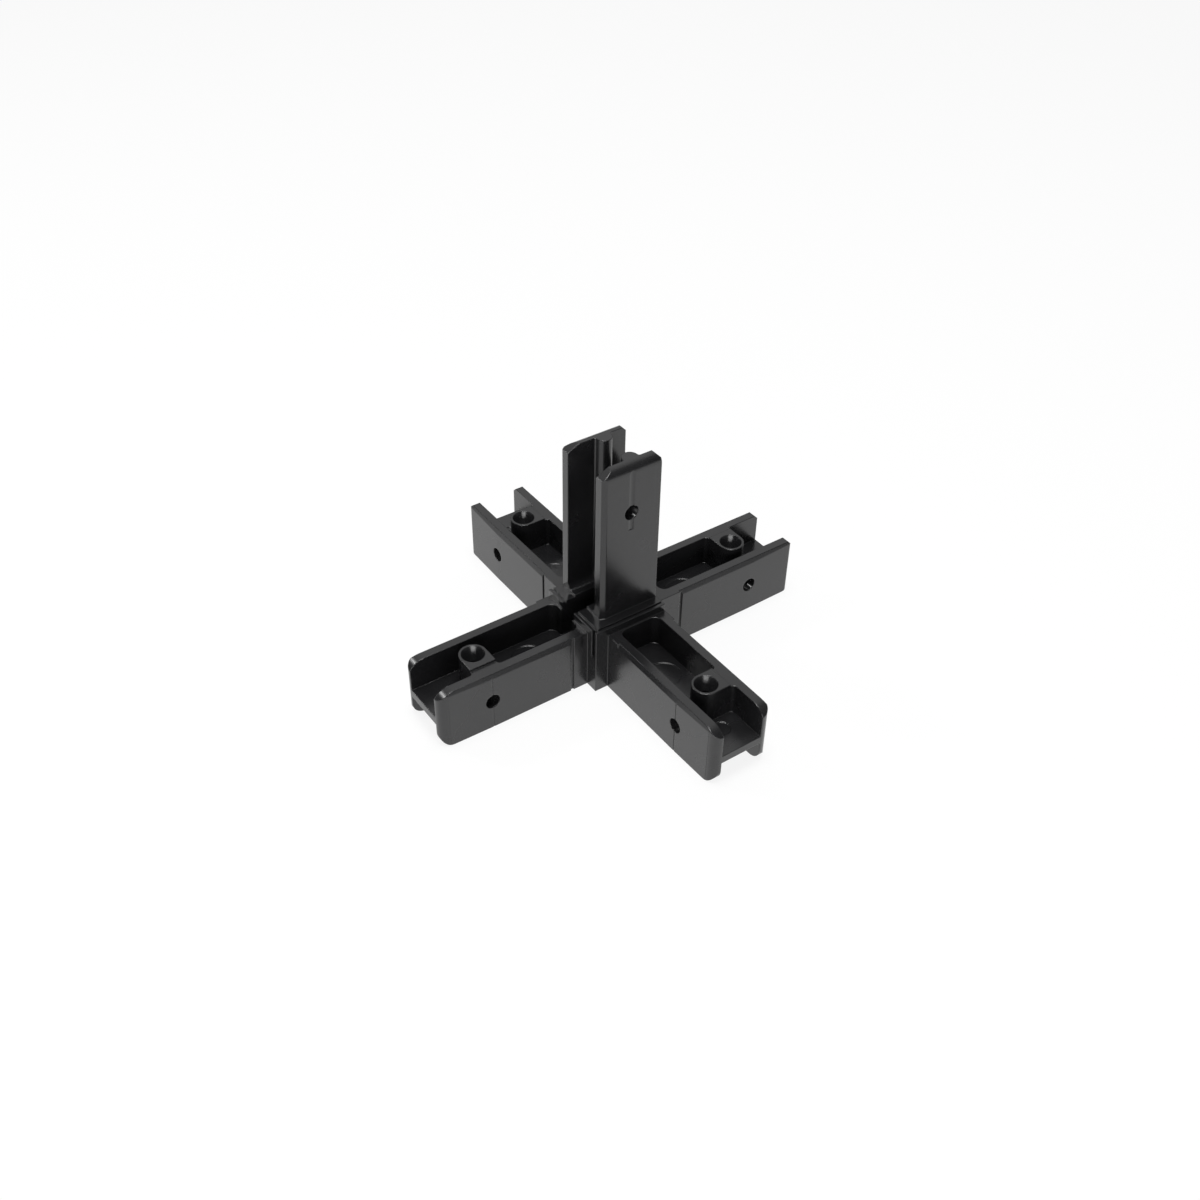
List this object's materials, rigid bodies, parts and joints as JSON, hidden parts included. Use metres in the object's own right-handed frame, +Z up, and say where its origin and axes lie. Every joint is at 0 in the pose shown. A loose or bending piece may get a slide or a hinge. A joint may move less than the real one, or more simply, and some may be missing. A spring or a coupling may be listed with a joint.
{
  "type": "five-way corner joint",
  "caption": "Moulded plastic corner joint for square tube framing: H-section spigots lie in a cross and one stands upright on the hub, each with a screw boss and a cross hole.",
  "frame": {"origin": "middle of the cross of lying arms, at the level of their feet", "axes": "+Z up along the upright arm, +X along the front-right arm, -Y along the front-left arm"},
  "size_m": [0.11, 0.11, 0.0625],
  "materials": {
    "black_plastic": "satin"
  },
  "bodies": {
    "root": {"corner_joint": "black_plastic"}
  },
  "joints": []
}
